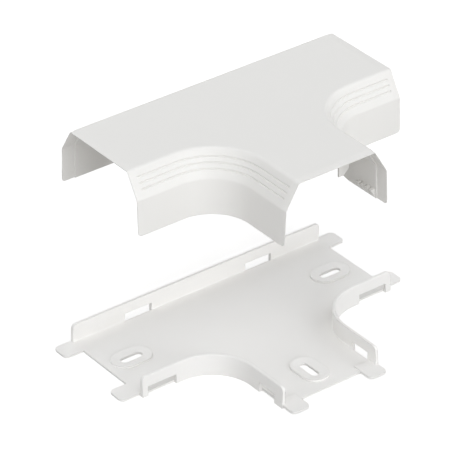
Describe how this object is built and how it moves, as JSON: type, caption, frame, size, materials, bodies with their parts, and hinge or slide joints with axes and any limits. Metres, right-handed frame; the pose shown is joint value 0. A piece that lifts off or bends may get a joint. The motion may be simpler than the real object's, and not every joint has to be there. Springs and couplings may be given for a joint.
{
  "type": "trunking tee fitting",
  "caption": "Tee fitting for surface trunking: a flat base that is screwed to the wall, and a faceted clip-on cover that closes the junction of a run and a branch.",
  "frame": {"origin": "crossing of the centrelines of run and stem, on the underside of the base", "axes": "+Z away from the wall, +X along the run, the stem points along -Y"},
  "size_m": [0.1986, 0.1322, 0.141],
  "materials": {
    "base_plastic": "satin",
    "cover_plastic": "satin"
  },
  "bodies": {
    "base": {"base_plate": "base_plastic"},
    "lid": {"cover": "cover_plastic"}
  },
  "joints": [
    {"name": "cover_lift", "type": "slide", "parent": "base", "child": "lid", "axis": [0, 0, 1], "range_m": [-0.105, 0]}
  ]
}
